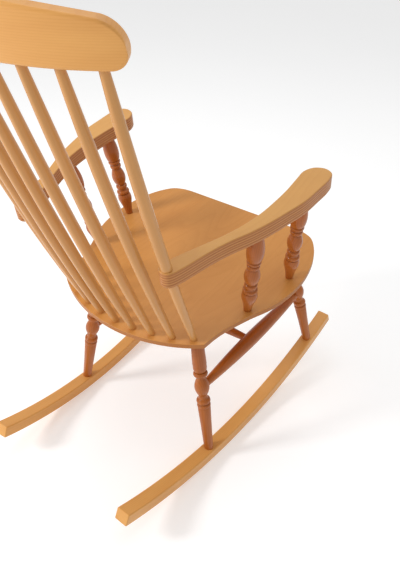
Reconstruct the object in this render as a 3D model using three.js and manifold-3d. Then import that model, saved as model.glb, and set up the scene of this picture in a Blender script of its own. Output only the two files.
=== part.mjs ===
// A spindle-back rocking chair: plywood seat and arms, turned legs and posts, stretchers, bent rockers.
// Millimetres. The chair is drawn in its own frame first: the seat's top face is z = 0, y runs to the
// back, x to the sitter's left, and y = 0 is the line through the two front arm posts.
// At the end the whole frame is tipped back, as the chair rests.
import * as THREE from "three";
import { mergeVertices } from "three/addons/utils/BufferGeometryUtils.js";
import Module from "manifold-3d";

const wasm = await Module();
wasm.setup();

// ---------------------------------------------------------------- driving dimensions
const GAP = 0.3; // between any two pieces that touch
const SIDES = [
  ["left", 1],
  ["right", -1],
];

const SEAT_THICK = 18;
const SEAT_CORNER_X = 187; // half the distance between the sharp rear corners
const SEAT_CORNER_Y = 258;
const SEAT_REAR_RADIUS = 320; // the rear edge is one arc between them
const SEAT_WIDEST_X = 255;
const SEAT_FRONT_Y = -159;
const SEAT_FRONT_X = 150; // half the straight part of the front edge
const SEAT_EDGE = 1.6; // eased edge

const SPINDLES = 9;
const SPINDLE_STEP = THREE.MathUtils.degToRad(7.76);
const SPINDLE_ARC = 313; // radius of the row of sockets in the seat
const SPINDLE_ARC_Y = -11.7; // its centre
const SPINDLE_LEAN = 0.321; // rearward run per unit of height at the seat
const SPINDLE_BOW = 0.000197; // how fast that lean dies away: the spindles are bent
const SPINDLE_FAN = 0.194; // outward run, times the squared sine of the socket's angle
const SPINDLE_R = { foot: 6.8, middle: 10, top: 6.2, swell: 0.75 };
const SPINDLE_SOCKET = 13; // depth in the seat

const CREST_BASE = 590; // height of the crest rail's lower edge above the seat
const CREST_HEIGHT = 80;
const CREST_END_HEIGHT = 54;
const CREST_THICK = 22;
const CREST_EDGE = 4;
const CREST_OVERHANG = 35; // past the outermost spindle
const CREST_SOCKET = 26;

const ARM_THICK = 34;
const ARM_TOP = 237; // height of the arm's top face above the seat, at the front posts
const ARM_PITCH = -0.0185; // the arm falls slightly to the back
const ARM_EDGE = 2.2;
const ARM_REAR_R = 15.5; // the narrow rear end is rounded round the outermost spindle

const POST = {
  front: { x: 225, y: 0, outward: 0.105, rearward: 0.065 },
  rear: { x: 204, y: 132, outward: 0.14, rearward: 0.07 },
};
const POST_LENGTH = 204; // seat to arm, the length the turning is drawn at
const POST_TENON = { seatR: 7.9, seatDeep: 13, armR: 7, armDeep: 20 };

// ballAt is the middle of the leg's ball and entryAt is where the side stretcher enters it, above the foot
const LEG = {
  front: { footY: -150, topX: 146, topY: -132, ballAt: 161, entryAt: 155 },
  rear: { footY: 269, topX: 134, topY: 216, ballAt: 170.5, entryAt: 168 },
};
const LEG_LENGTH = 318; // rocker to seat, the length the turning is drawn at
const LEG_BALL_R = 16.3;
const LEG_TENON = { seatR: 10, seatDeep: 13, rockerR: 6.6, rockerDeep: 16 };

const ROCKER_RADIUS = 956; // of the top face
const ROCKER_LOW_Y = (LEG.front.footY + LEG.rear.footY) / 2; // the curve is lowest midway between the feet
const ROCKER_LOW_Z = -352; // its top face there
const ROCKER_X = 200.6; // half the distance between the rockers, at ROCKER_LOW_Y
const ROCKER_TOE = -0.052; // they run together to the back
const ROCKER_WIDTH = 31;
const ROCKER_THICK = 27;
const ROCKER_FRONT_Y = -236;
const ROCKER_REAR_Y = 527;
const ROCKER_EDGE = 1.5;
const ROCKER_FACETS = 20;
const REST_FACET = 11; // counted from the front: the chair's weight is over this one, so it rests on it
const REST_Y = ROCKER_FRONT_Y + ((ROCKER_REAR_Y - ROCKER_FRONT_Y) * (REST_FACET + 0.5)) / ROCKER_FACETS;
const TILT = Math.asin((REST_Y - ROCKER_LOW_Y) / ROCKER_RADIUS); // how far the chair leans back at rest

const STRETCHER_R = { end: 8, middle: 16 };
const STRETCHER_TENON = { r: 6, deep: 10 };
const CROSS_AT = 0.46; // where on the side stretcher the cross stretcher enters, as a share from the rear
const CROSS_R = { end: 8, middle: 13 };
const CROSS_TENON = { r: 5.5, deep: 8 };

const TURNED_SIDES = 12; // flats round a turned piece

const HONEY = 0xcd915a;
const PALE = 0xdba86a;
const TURNED = 0xa96a3d;

// ---------------------------------------------------------------- solids
// A closed geometry as a manifold-3d solid, faces turned out.
function solid(geometry) {
  geometry.deleteAttribute("normal");
  geometry.deleteAttribute("uv");
  const merged = mergeVertices(geometry, 1e-4);
  const triVerts = new Uint32Array(merged.index.array);
  const make = () => new wasm.Manifold(
    new wasm.Mesh({ numProp: 3, vertProperties: merged.attributes.position.array, triVerts }),
  );
  const body = make();
  if (body.volume() > 0) return body;
  for (let i = 0; i < triVerts.length; i += 3) {
    [triVerts[i + 1], triVerts[i + 2]] = [triVerts[i + 2], triVerts[i + 1]];
  }
  return make();
}

function geometryOf(body) {
  const made = body.getMesh();
  const position = new Float32Array(made.numVert * 3);
  for (let i = 0; i < made.numVert; i++) {
    position.set(made.vertProperties.subarray(i * made.numProp, i * made.numProp + 3), i * 3);
  }
  return new THREE.BufferGeometry()
    .setAttribute("position", new THREE.BufferAttribute(position, 3))
    .setIndex(new THREE.BufferAttribute(made.triVerts, 1));
}

// A surface through a row of rings of points, closed by a flat cap at each end.
function loft(rings) {
  const count = rings[0].length;
  const position = rings.flat().flatMap((p) => [p.x, p.y, p.z]);
  const index = [];
  for (let i = 0; i < rings.length - 1; i++) {
    for (let j = 0; j < count; j++) {
      const a = i * count + j;
      const b = i * count + ((j + 1) % count);
      index.push(a, b, b + count, a, b + count, a + count);
    }
  }
  const last = (rings.length - 1) * count;
  for (let j = 1; j < count - 1; j++) {
    index.push(0, j + 1, j);
    index.push(last, last + j, last + j + 1);
  }
  return solid(
    new THREE.BufferGeometry()
      .setAttribute("position", new THREE.Float32BufferAttribute(position, 3))
      .setIndex(index),
  );
}

// A turned piece: stations of [distance along the axis, radius], from start and along direction.
function turned(stations, start, direction) {
  const profile = [
    new THREE.Vector2(0, stations[0][0]),
    ...stations.map(([s, r]) => new THREE.Vector2(r, s)),
    new THREE.Vector2(0, stations[stations.length - 1][0]),
  ];
  const up = new THREE.Vector3(0, 1, 0);
  const turn = new THREE.Quaternion().setFromUnitVectors(up, direction.clone().normalize());
  const geometry = new THREE.LatheGeometry(profile, TURNED_SIDES);
  geometry.applyQuaternion(turn).translate(start.x, start.y, start.z);
  return solid(geometry);
}

const swollen = (stations, by) => stations.map(([s, r]) => [s, r + by]);
const stretched = (stations, factor) => stations.map(([s, r]) => [s * factor, r]);
const pin = (from, to, radius) => [[from, radius], [to, radius]];

// Stations over a swelling from s0 to s1 that is fattest part of the way along, at `peak`.
function swelling(s0, r0, s1, r1, rMax, peak, steps) {
  const power = Math.log(0.5) / Math.log(peak);
  return Array.from({ length: steps + 1 }, (_, i) => {
    const t = i / steps;
    const base = r0 + (r1 - r0) * t;
    return [s0 + (s1 - s0) * t, base + (rMax - base) * Math.sin(Math.PI * t ** power)];
  });
}

const bead = (s, width, rLow, rHigh) => [
  [s - width / 2, rLow],
  [s - width / 4, rHigh],
  [s + width / 4, rHigh],
  [s + width / 2, rLow],
];

// ---------------------------------------------------------------- seat
function seatOutline(grow) {
  const cornerRise = Math.sqrt(SEAT_REAR_RADIUS ** 2 - SEAT_CORNER_X ** 2);
  const side = new THREE.CatmullRomCurve3(
    [
      [SEAT_CORNER_X, SEAT_CORNER_Y],
      [SEAT_CORNER_X + 5, 222],
      [SEAT_CORNER_X + 14, 190],
      [SEAT_WIDEST_X - 36, 143],
      [SEAT_WIDEST_X - 17, 102],
      [SEAT_WIDEST_X - 5, 62],
      [SEAT_WIDEST_X, 14],
      [SEAT_WIDEST_X - 3, -30],
      [SEAT_WIDEST_X - 13, -74],
      [SEAT_WIDEST_X - 30, -113],
      [SEAT_WIDEST_X - 55, -145],
      [SEAT_FRONT_X + 24, SEAT_FRONT_Y + 3],
      [SEAT_FRONT_X, SEAT_FRONT_Y],
    ].map(([x, y]) => new THREE.Vector3(x, y, 0)),
    false,
    "centripetal",
  ).getPoints(24);
  const rear = [];
  const half = Math.asin(SEAT_CORNER_X / SEAT_REAR_RADIUS);
  for (let i = 1; i < 16; i++) {
    const a = -half + (2 * half * i) / 16;
    const y = SEAT_CORNER_Y - cornerRise + SEAT_REAR_RADIUS * Math.cos(a);
    rear.push(new THREE.Vector3(SEAT_REAR_RADIUS * Math.sin(a), y, 0));
  }
  const left = side.slice().reverse();
  const right = side.map((p) => new THREE.Vector3(-p.x, p.y, 0));
  const centre = new THREE.Vector3(0, 60, 0);
  return [...left, ...rear.reverse(), ...right].map((p) => {
    const out = p.clone().sub(centre).normalize().multiplyScalar(grow);
    return new THREE.Vector2(p.x + out.x, p.y + out.y);
  });
}

function plate(outline, thick, edge, grow) {
  const geometry = new THREE.ExtrudeGeometry(new THREE.Shape(outline), {
    depth: thick - 2 * edge + 2 * grow,
    steps: 1,
    bevelEnabled: true,
    bevelThickness: edge,
    bevelSize: edge,
    bevelOffset: -edge,
    bevelSegments: 1,
  });
  return geometry.translate(0, 0, edge - thick - grow);
}

const seatBlank = (grow) => solid(plate(seatOutline(grow), SEAT_THICK, SEAT_EDGE, grow));

// ---------------------------------------------------------------- spindles and crest rail
function spindlePoint(i, height) {
  const angle = (i - (SPINDLES - 1) / 2) * SPINDLE_STEP;
  const sine = Math.sin(angle);
  return new THREE.Vector3(
    SPINDLE_ARC * sine + SPINDLE_FAN * sine * Math.abs(sine) * height,
    SPINDLE_ARC_Y + SPINDLE_ARC * Math.cos(angle) + SPINDLE_LEAN * height - (SPINDLE_BOW * height ** 2) / 2,
    height,
  );
}

function spindleRadius(height) {
  const t = THREE.MathUtils.clamp(height / CREST_BASE, 0, 1);
  const base = SPINDLE_R.foot + (SPINDLE_R.top - SPINDLE_R.foot) * t;
  return base + (SPINDLE_R.middle - base) * Math.sin(Math.PI * t) ** SPINDLE_R.swell;
}

function spindleSolid(i, grow) {
  const low = -SPINDLE_SOCKET - grow;
  const high = CREST_BASE + CREST_SOCKET + grow;
  const stations = 12;
  const sides = 12;
  const rings = [];
  for (let k = 0; k <= stations; k++) {
    const height = low + ((high - low) * k) / stations;
    const centre = spindlePoint(i, height);
    const along = spindlePoint(i, height + 1).sub(centre).normalize();
    const across = new THREE.Vector3(1, 0, 0).addScaledVector(along, -along.x).normalize();
    const back = along.clone().cross(across);
    const r = spindleRadius(height) + grow;
    rings.push(
      Array.from({ length: sides }, (_, j) => {
        const a = (2 * Math.PI * j) / sides;
        return centre.clone().addScaledVector(across, r * Math.cos(a)).addScaledVector(back, r * Math.sin(a));
      }),
    );
  }
  return loft(rings);
}

function crestBlank() {
  const end = spindlePoint(SPINDLES - 1, CREST_BASE);
  const middle = spindlePoint((SPINDLES - 1) / 2, CREST_BASE);
  const sag = middle.y - end.y;
  const radius = (end.x ** 2 + sag ** 2) / (2 * sag);
  const lean = SPINDLE_LEAN - SPINDLE_BOW * CREST_BASE;
  const reach = radius * Math.asin(end.x / radius) + CREST_OVERHANG;
  const round = CREST_END_HEIGHT * 0.45;
  const stations = 26;
  const rings = [];
  for (let k = 0; k <= stations; k++) {
    const t = -Math.cos((Math.PI * k) / stations); // closer together at the rounded ends
    const u = reach * t;
    const fall = Math.max(0, Math.abs(u) - (reach - round)) / round;
    const tall = CREST_END_HEIGHT + (CREST_HEIGHT - CREST_END_HEIGHT) * Math.cos((t * Math.PI) / 2) ** 0.8;
    const drop = tall * 0.42 * (1 - Math.sqrt(Math.max(0, 1 - fall ** 2)));
    rings.push(crestRing(u, radius, middle.y - radius, lean, drop, tall - drop));
  }
  return loft(rings);
}

// One cross-section of the crest rail: a board with rounded edges, leaning with the spindles.
function crestRing(u, radius, centreY, lean, low, high) {
  const half = CREST_THICK / 2;
  const edge = Math.min(CREST_EDGE, (high - low) / 3);
  const corners = [
    [-half + edge, low],
    [half - edge, low],
    [half, low + edge],
    [half, high - edge],
    [half - edge, high],
    [-half + edge, high],
    [-half, high - edge],
    [-half, low + edge],
  ];
  const angle = u / radius;
  return corners.map(([w, v]) => new THREE.Vector3(
    (radius + w) * Math.sin(angle),
    centreY + (radius + w) * Math.cos(angle) + lean * v,
    CREST_BASE + v,
  ));
}

// ---------------------------------------------------------------- arms and posts
function armOutline(side, grow) {
  const hole = spindlePoint(SPINDLES - 1, ARM_TOP - ARM_THICK / 2);
  const front = POST.front.x;
  const points = [
    [front - 24, 205],
    [front - 12, 166],
    [front - 4, 122],
    [front - 1, 74],
    [front - 1, 30],
    [front - 4, -12],
    [front - 5, -40],
    [front + 6, -61],
    [front + 27, -69],
    [front + 45, -60],
    [front + 50, -38],
    [front + 49, 0],
    [front + 46, 45],
    [front + 36, 90],
    [front + 26, 130],
    [front + 13, 170],
    [front - 4, 210],
    [front - 16, 246],
  ];
  for (let k = 0; k <= 4; k++) {
    const a = THREE.MathUtils.degToRad(18 + 42 * k);
    points.push([hole.x + ARM_REAR_R * Math.cos(a), hole.y + ARM_REAR_R * Math.sin(a)]);
  }
  const curve = new THREE.CatmullRomCurve3(
    points.map(([x, y]) => new THREE.Vector3(x, y, 0)),
    true,
    "centripetal",
  );
  const outline = curve.getPoints(52).slice(0, -1);
  return outline.map((p, i) => {
    const next = outline[(i + 1) % outline.length];
    const before = outline[(i + outline.length - 1) % outline.length];
    const run = next.clone().sub(before).normalize();
    return new THREE.Vector2(side * (p.x + run.y * grow), p.y - run.x * grow);
  });
}

function armBlank(side, grow) {
  const geometry = plate(armOutline(side, grow), ARM_THICK, ARM_EDGE, grow);
  return solid(geometry.rotateX(Math.atan(ARM_PITCH)).translate(0, 0, ARM_TOP));
}

const POST_TURNING = [
  ...swelling(0, 8, 58, 13.6, 16.2, 0.8, 5),
  ...bead(63.2, 9.5, 11.6, 15),
  [70.6, 10.6],
  ...bead(78, 9, 10.8, 13.2),
  ...swelling(83.5, 10, 127, 10, 15.8, 0.48, 5),
  ...bead(133, 9, 10.6, 12.8),
  [139.5, 10.2],
  ...bead(144.5, 7, 12, 14),
  ...swelling(149, 13, POST_LENGTH + 4, 11.4, 17, 0.38, 6),
];

function postFrame(side, place) {
  const foot = new THREE.Vector3(side * place.x, place.y, 0);
  const along = new THREE.Vector3(side * place.outward, place.rearward, 1);
  const top = (ARM_TOP - ARM_THICK + ARM_PITCH * place.y) / (1 - ARM_PITCH * place.rearward);
  return { foot, direction: along.clone().normalize(), length: top * along.length() };
}

function postSolid(side, place) {
  const { foot, direction, length } = postFrame(side, place);
  const body = turned(stretched(POST_TURNING, length / POST_LENGTH), foot, direction);
  const tenons = turned(postTenons(length, 0), foot, direction);
  return body.subtract(armBlank(side, GAP)).subtract(seatBlank(GAP)).add(tenons);
}

const postTenons = (length, grow) => [
  [-POST_TENON.seatDeep - grow, POST_TENON.seatR + grow],
  [length * 0.5, POST_TENON.seatR + grow],
  [length * 0.6, POST_TENON.armR + grow],
  [length + POST_TENON.armDeep + grow, POST_TENON.armR + grow],
];

function postSockets(side, place) {
  const { foot, direction, length } = postFrame(side, place);
  return turned(postTenons(length, GAP), foot, direction);
}

function armSolid(side) {
  const spindle = side > 0 ? SPINDLES - 1 : 0;
  return armBlank(side, 0)
    .subtract(spindleSolid(spindle, GAP))
    .subtract(postSockets(side, POST.front))
    .subtract(postSockets(side, POST.rear));
}

// ---------------------------------------------------------------- rockers
function rockerPoint(side, y, across, under) {
  const angle = Math.asin((y - ROCKER_LOW_Y) / ROCKER_RADIUS);
  const radius = ROCKER_RADIUS + under;
  const x = ROCKER_X + ROCKER_TOE * (y - ROCKER_LOW_Y) + across;
  return new THREE.Vector3(
    side * x,
    ROCKER_LOW_Y + radius * Math.sin(angle),
    ROCKER_LOW_Z + ROCKER_RADIUS - radius * Math.cos(angle),
  );
}

function rockerBlank(side, grow) {
  const half = ROCKER_WIDTH / 2 + grow;
  const low = ROCKER_THICK + grow;
  const e = ROCKER_EDGE;
  const section = [
    [-half + e, -grow],
    [half - e, -grow],
    [half, e - grow],
    [half, low - e],
    [half - e, low],
    [-half + e, low],
    [-half, low - e],
    [-half, e - grow],
  ];
  const rings = [];
  for (let k = 0; k <= ROCKER_FACETS; k++) {
    const y = ROCKER_FRONT_Y + ((ROCKER_REAR_Y - ROCKER_FRONT_Y) * k) / ROCKER_FACETS;
    rings.push(section.map(([across, under]) => rockerPoint(side, y, across, under)));
  }
  return loft(rings);
}

// ---------------------------------------------------------------- legs
const legTurning = (ball) => [
  [-6, 10.4],
  [0, 10.4],
  [40, 11.4],
  [76, 12.7],
  [ball - 55.5, 14.2],
  ...bead(ball - 48.5, 8, 13.2, 15),
  ...bead(ball - 36.5, 11, 12, 15.4),
  [ball - 28.5, 10],
  ...swelling(ball - 22.5, 9.4, ball + 22.5, 9.3, LEG_BALL_R, 0.5, 6),
  [ball + 25, 9.2],
  ...bead(ball + 34, 11, 11.5, 15.7),
  [ball + 42, 13],
  [ball + 46, 14.6],
  [ball + 55, 15.3],
  [262, 14.1],
  [LEG_LENGTH, 13.2],
  [LEG_LENGTH + 8, 13.2],
];

function legFrame(side, place) {
  const foot = rockerPoint(side, place.footY, 0, 0);
  const top = new THREE.Vector3(side * place.topX, place.topY, -SEAT_THICK);
  const along = top.clone().sub(foot);
  return { foot, direction: along.clone().normalize(), length: along.length() };
}

// Where the side stretcher's axis meets the leg's.
function stretcherEntry(side, place) {
  const { foot, direction, length } = legFrame(side, place);
  return foot.addScaledVector(direction, (length * place.entryAt) / LEG_LENGTH);
}

const legTenons = (length, grow) => [
  [-LEG_TENON.rockerDeep - grow, LEG_TENON.rockerR + grow],
  [length * 0.7, LEG_TENON.rockerR + grow],
  [length * 0.8, LEG_TENON.seatR + grow],
  [length + LEG_TENON.seatDeep + grow, LEG_TENON.seatR + grow],
];

function legBody(side, place, grow) {
  const { foot, direction, length } = legFrame(side, place);
  const stations = stretched(legTurning(place.ballAt), length / LEG_LENGTH);
  return turned(swollen(stations, grow), foot, direction);
}

function legSockets(side, place) {
  const { foot, direction, length } = legFrame(side, place);
  return turned(legTenons(length, GAP), foot, direction);
}

function legSolid(side, place) {
  const { foot, direction, length } = legFrame(side, place);
  return legBody(side, place, 0)
    .subtract(seatBlank(GAP))
    .subtract(rockerBlank(side, GAP))
    .add(turned(legTenons(length, 0), foot, direction))
    .subtract(stretcherSockets(side));
}

function rockerSolid(side) {
  return rockerBlank(side, 0)
    .subtract(legSockets(side, LEG.front))
    .subtract(legSockets(side, LEG.rear));
}

// ---------------------------------------------------------------- stretchers
function stretcherFrame(side) {
  const start = stretcherEntry(side, LEG.rear);
  const along = stretcherEntry(side, LEG.front).sub(start);
  return { start, direction: along.clone().normalize(), length: along.length() };
}

const cigar = (length, radius, inset) =>
  swelling(inset, radius.end, length - inset, radius.end, radius.middle, 0.5, 8);

function stretcherTenons(side, grow) {
  const { start, direction, length } = stretcherFrame(side);
  const inset = LEG_BALL_R - STRETCHER_TENON.deep - grow;
  return turned(pin(inset, length - inset, STRETCHER_TENON.r + grow), start, direction);
}

const stretcherSockets = (side) => stretcherTenons(side, GAP);

function crossFrame() {
  const { start, direction, length } = stretcherFrame(1);
  const left = start.addScaledVector(direction, length * CROSS_AT);
  return { start: left, direction: new THREE.Vector3(-1, 0, 0), length: 2 * left.x };
}

function crossTenons(grow) {
  const { start, direction, length } = crossFrame();
  const inset = STRETCHER_R.middle - CROSS_TENON.deep - grow;
  return turned(pin(inset, length - inset, CROSS_TENON.r + grow), start, direction);
}

function sideStretcherBody(side, grow) {
  const { start, direction, length } = stretcherFrame(side);
  return turned(swollen(cigar(length, STRETCHER_R, LEG_BALL_R / 2), grow), start, direction);
}

function sideStretcher(side) {
  return sideStretcherBody(side, 0)
    .subtract(legBody(side, LEG.rear, GAP))
    .subtract(legBody(side, LEG.front, GAP))
    .add(stretcherTenons(side, 0))
    .subtract(crossTenons(GAP));
}

function crossStretcher() {
  const { start, direction, length } = crossFrame();
  return turned(cigar(length, CROSS_R, STRETCHER_R.middle / 2), start, direction)
    .subtract(sideStretcherBody(1, GAP))
    .subtract(sideStretcherBody(-1, GAP))
    .add(crossTenons(0));
}

// ---------------------------------------------------------------- the chair
function seatSolid(spindleSockets) {
  let body = seatBlank(0);
  for (const socket of spindleSockets) body = body.subtract(socket);
  for (const [, side] of SIDES) {
    for (const place of ["front", "rear"]) {
      body = body.subtract(postSockets(side, POST[place])).subtract(legSockets(side, LEG[place]));
    }
  }
  return body;
}

function chairPieces() {
  const sockets = Array.from({ length: SPINDLES }, (_, i) => spindleSolid(i, GAP));
  let crest = crestBlank();
  for (const socket of sockets) crest = crest.subtract(socket);
  const pieces = [
    ["seat", seatSolid(sockets), HONEY],
    ["crest_rail", crest, HONEY],
    ["cross_stretcher", crossStretcher(), TURNED],
  ];
  for (let i = 0; i < SPINDLES; i++) {
    pieces.push([`back_spindle_${i + 1}`, spindleSolid(i, 0), TURNED]);
  }
  for (const [name, side] of SIDES) {
    pieces.push([`arm_${name}`, armSolid(side), PALE]);
    pieces.push([`rocker_${name}`, rockerSolid(side), HONEY]);
    pieces.push([`side_stretcher_${name}`, sideStretcher(side), TURNED]);
    for (const place of ["front", "rear"]) {
      pieces.push([`arm_post_${place}_${name}`, postSolid(side, POST[place]), TURNED]);
      pieces.push([`leg_${place}_${name}`, legSolid(side, LEG[place]), TURNED]);
    }
  }
  return pieces;
}

function meshOf([name, body, color]) {
  const geometry = geometryOf(body).toNonIndexed();
  geometry.computeVertexNormals();
  const material = new THREE.MeshStandardMaterial({ color, roughness: 0.35, metalness: 0 });
  const mesh = new THREE.Mesh(geometry, material);
  mesh.name = name;
  return mesh;
}

// The chair leans back as it does at rest, and stands on z = 0, its outer box centred on the origin.
function restingChair() {
  const frame = new THREE.Group();
  frame.name = "chair_frame";
  frame.add(...chairPieces().map(meshOf));
  frame.rotation.x = -TILT;
  const box = new THREE.Box3().setFromObject(frame, true);
  const centre = box.getCenter(new THREE.Vector3());
  frame.position.set(-centre.x, -centre.y, -box.min.z);
  const chair = new THREE.Group();
  chair.name = "rocking_chair";
  chair.add(frame);
  return chair;
}

export default restingChair();
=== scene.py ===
# %% [markdown]
# # A spindle-back rocking chair
# The chair is a glued frame of beech: a flat plywood seat, turned legs on two bent rockers, turned
# posts that carry shaped plywood arms, and nine bent spindles under a curved crest rail.
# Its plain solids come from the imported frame. Here each one is replaced by a finer surface of the
# same size in the same place, and gets the finish of the real wood.

# %% Load the frame
import math
import random

import bmesh
import bpy
from mathutils import Matrix, Vector


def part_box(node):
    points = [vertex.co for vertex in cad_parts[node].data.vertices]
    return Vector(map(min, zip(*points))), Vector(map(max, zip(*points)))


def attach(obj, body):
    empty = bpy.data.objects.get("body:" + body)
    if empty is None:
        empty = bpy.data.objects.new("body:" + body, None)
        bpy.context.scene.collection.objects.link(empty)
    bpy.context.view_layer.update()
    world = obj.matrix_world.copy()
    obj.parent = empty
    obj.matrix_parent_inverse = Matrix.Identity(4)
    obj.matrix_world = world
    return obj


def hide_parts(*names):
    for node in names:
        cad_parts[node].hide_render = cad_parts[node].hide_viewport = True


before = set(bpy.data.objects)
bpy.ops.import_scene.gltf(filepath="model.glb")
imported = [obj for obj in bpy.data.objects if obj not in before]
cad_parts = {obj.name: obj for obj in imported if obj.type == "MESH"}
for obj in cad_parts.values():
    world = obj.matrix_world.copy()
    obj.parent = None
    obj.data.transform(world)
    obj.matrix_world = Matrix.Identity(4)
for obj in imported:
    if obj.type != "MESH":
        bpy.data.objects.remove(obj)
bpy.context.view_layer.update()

# %% [markdown]
# ## The chair's own frame
# A chair maker draws the chair with its seat level, and only the finished chair leans back on its
# rockers. The sizes below are millimetres in that drawing: the seat's top is z = 0, y runs to the
# back and x to the sitter's left. One matrix turns a finished mesh from the drawing into place.
# The lean follows from the rockers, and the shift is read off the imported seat's box.

# %% Sizes
SIDES = {"left": 1, "right": -1}

SEAT_THICK = 18
SEAT_CORNER = (187, 258)  # a sharp rear corner
SEAT_REAR_RADIUS = 320  # the rear edge is one arc between the corners
SEAT_WIDEST = 255
SEAT_FRONT = (150, -159)  # end of the straight part of the front edge
SEAT_EDGE = 2.4
SEAT_UNDER = 7  # how far the lower rim is cut back

SPINDLES = 9
SPINDLE_STEP = math.radians(7.76)
SPINDLE_ARC = 313
SPINDLE_ARC_Y = -11.7
SPINDLE_LEAN = 0.321
SPINDLE_BOW = 0.000197
SPINDLE_FAN = 0.194
SPINDLE_SOCKET = 13
SPINDLE_R = {"foot": 6.8, "middle": 10.0, "top": 6.2}
SPINDLE_SIDES = 32

CREST_BASE = 590
CREST_HEIGHT = 80
CREST_END_HEIGHT = 54
CREST_THICK = 22
CREST_EDGE = 5
CREST_OVERHANG = 35
CREST_SOCKET = 26

ARM_THICK = 34
ARM_TOP = 237
ARM_PITCH = -0.0185
ARM_EDGE = 2.4
ARM_UNDER = 4
ARM_REAR_R = 15.5

POST = {
    "front": {"x": 225, "y": 0, "outward": 0.105, "rearward": 0.065},
    "rear": {"x": 204, "y": 132, "outward": 0.14, "rearward": 0.07},
}
POST_LENGTH = 204  # the length that the turning is drawn at
POST_TENON = {"seat_r": 6, "seat_deep": 13, "arm_r": 7, "arm_deep": 20}
LEG = {
    "front": {"foot": -150, "top": (146, -132), "ball": 161, "entry": 155},
    "rear": {"foot": 269, "top": (134, 216), "ball": 170.5, "entry": 168},
}
LEG_LENGTH = 318  # likewise for the legs
LEG_TENON = {"rocker_r": 6.6, "rocker_deep": 16, "seat_r": 10, "seat_deep": 13}
LEG_BALL_R = 16.3
STRETCHER_END_R = 8
STRETCHER_MIDDLE_R = 16
CROSS_MIDDLE_R = 13
CROSS_AT = 0.46  # where on the side stretcher the cross stretcher enters, as a share from the rear

ROCKER_RADIUS = 956
ROCKER_LOW_Y = (LEG["front"]["foot"] + LEG["rear"]["foot"]) / 2
ROCKER_LOW_Z = -352
ROCKER_X = 200.6
ROCKER_TOE = -0.052
ROCKER_WIDTH = 31
ROCKER_THICK = 27
ROCKER_FRONT_Y = -236
ROCKER_REAR_Y = 527
ROCKER_EDGE = 3
ROCKER_REST = 11.5 / 20  # where the rockers touch the floor, as a share from the front
REST_Y = ROCKER_FRONT_Y + (ROCKER_REAR_Y - ROCKER_FRONT_Y) * ROCKER_REST

TILT = math.asin((REST_Y - ROCKER_LOW_Y) / ROCKER_RADIUS)
print("the chair leans back", round(math.degrees(TILT), 2), "degrees")

# %% The matrix from the drawing to the room
MM = 0.001
CAD_SEAT_EDGE = 1.6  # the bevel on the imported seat's rims
lean = Matrix.Rotation(-TILT, 4, "X")
_, seat_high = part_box("seat")
seat_front = lean @ Vector((0, SEAT_FRONT[1] + CAD_SEAT_EDGE, 0))
rear_rise = math.sqrt(SEAT_REAR_RADIUS ** 2 - SEAT_CORNER[0] ** 2)
SEAT_REAR_Y = SEAT_CORNER[1] - rear_rise + SEAT_REAR_RADIUS
seat_rear = lean @ Vector((0, SEAT_REAR_Y, -CAD_SEAT_EDGE))
shift = Vector((0, seat_high.y - seat_rear.y * MM, seat_high.z - seat_front.z * MM))
CHAIR = Matrix.Translation(shift) @ lean @ Matrix.Scale(MM, 4)
print("the middle of the front posts' line stands at", [round(v, 4) for v in CHAIR.translation])

# %% [markdown]
# ## The camera
# The view is from behind the sitter's right shoulder and from above, quite close, as someone stands
# over the chair. A camera's matrix holds its right, up and backward directions as columns, so the
# small roll is a turn about its own third axis. A close viewpoint with a normal lens gives the
# strong perspective: the near rear leg looks much bigger than the far front one.

# %% Camera
LOOK_AT = Vector((-0.0660, -0.0413, 0.3585))
DISTANCE = 1.3
AZIMUTH = math.radians(214.23)
ELEVATION = math.radians(34.83)
ROLL = math.radians(2.84)
LENS = 37.78

backward = Vector((
    math.sin(AZIMUTH) * math.cos(ELEVATION),
    -math.cos(AZIMUTH) * math.cos(ELEVATION),
    math.sin(ELEVATION),
))
rightward = Vector((0, 0, 1)).cross(backward).normalized()
turn = Matrix((rightward, backward.cross(rightward), backward)).transposed().to_4x4()
camera = bpy.data.objects.new("camera", bpy.data.cameras.new("camera"))
camera.data.lens = LENS
standpoint = Matrix.Translation(LOOK_AT + backward * DISTANCE)
camera.matrix_world = standpoint @ turn @ Matrix.Rotation(ROLL, 4, "Z")
bpy.context.scene.collection.objects.link(camera)
bpy.context.scene.camera = camera
print("camera at", [round(v, 3) for v in camera.matrix_world.translation])

# %% [markdown]
# ## Node trees written as expressions
# Materials and Geometry Nodes are both trees of small nodes. Clicking them together hides the
# arithmetic, so here one small class stands for the output of a node: adding or multiplying two of
# them adds a Math node. Another method adds any node by its type, its settings and its inputs.

# %% A wire and a graph
class Wire:
    """The output of a node. Arithmetic on numbers adds the Math nodes that work it out."""

    def __init__(self, graph, socket):
        self.graph = graph
        self.socket = socket

    def __add__(self, other):
        return self.graph.math("ADD", self, other)

    def __sub__(self, other):
        return self.graph.math("SUBTRACT", self, other)

    def __rsub__(self, other):
        return self.graph.math("SUBTRACT", other, self)

    def __mul__(self, other):
        return self.graph.math("MULTIPLY", self, other)

    def __truediv__(self, other):
        return self.graph.math("DIVIDE", self, other)

    def __pow__(self, other):
        return self.graph.math("POWER", self, other)

    __radd__ = __add__
    __rmul__ = __mul__


def pick(sockets, key):
    """A socket by its place, its identifier or its name."""
    if isinstance(key, int):
        return sockets[key]
    return next(s for s in sockets if key in (s.identifier, s.name))


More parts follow.
